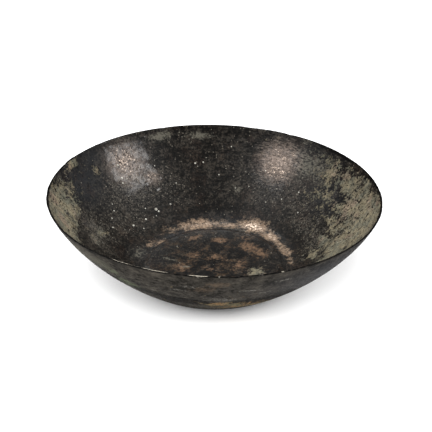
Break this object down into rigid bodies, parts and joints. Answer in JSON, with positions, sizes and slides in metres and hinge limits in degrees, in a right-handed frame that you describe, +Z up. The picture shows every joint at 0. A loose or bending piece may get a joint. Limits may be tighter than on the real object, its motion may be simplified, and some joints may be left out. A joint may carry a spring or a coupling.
{
  "type": "bronze bowl",
  "caption": "Shallow thin-walled bronze bowl with flaring sides, a plain lip and a flat foot ring round a slightly pushed-up floor.",
  "frame": {"origin": "on the surface that the bowl stands on, below the middle of its mouth", "axes": "+Z up, along the axis that the bowl was raised and turned about; -X is the side where the lip stands highest"},
  "size_m": [0.1702, 0.1698, 0.0461],
  "materials": {
    "bronze": "dark brown to black patina with a dull gloss, worn copper-coloured rings on the floor, golden wear on the lip and olive-tan crust on the inner wall"
  },
  "bodies": {
    "root": {"bowl": "bronze"}
  },
  "joints": []
}
